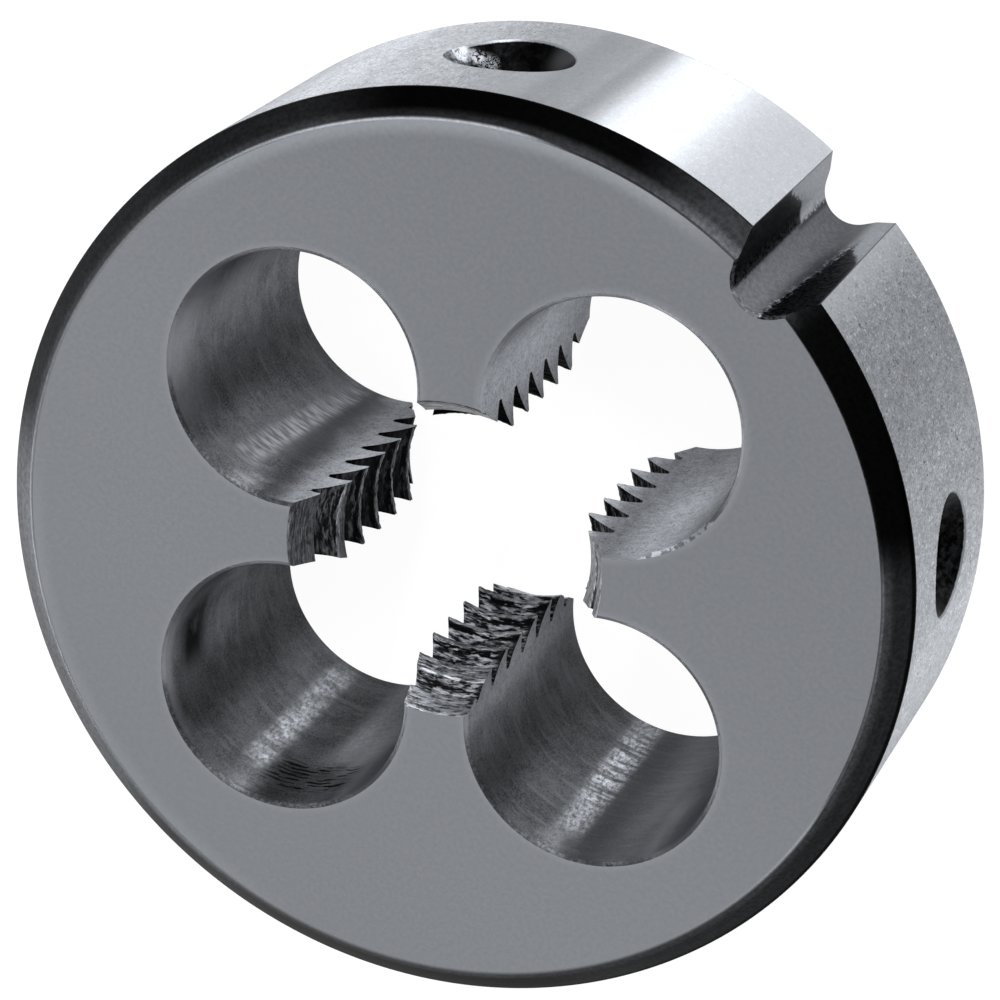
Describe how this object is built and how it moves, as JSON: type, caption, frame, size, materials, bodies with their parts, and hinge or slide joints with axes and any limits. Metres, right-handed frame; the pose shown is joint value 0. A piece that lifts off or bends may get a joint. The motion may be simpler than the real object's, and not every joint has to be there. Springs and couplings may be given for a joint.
{
  "type": "round threading die",
  "caption": "Round steel die that cuts an outside thread on a rod: threaded bore parted by chip holes, chamfered rim with an adjusting groove and screw dimples.",
  "frame": {"origin": "centre of the back face, on which the die lies", "axes": "+Z along the thread's axis, out of the face that meets the work; -Y towards the rim groove, within 2 degrees"},
  "size_m": [0.03, 0.03, 0.011],
  "materials": {
    "die_steel": "satin, ground faces and darker holes"
  },
  "bodies": {
    "root": {"die_body": "die_steel"}
  },
  "joints": []
}
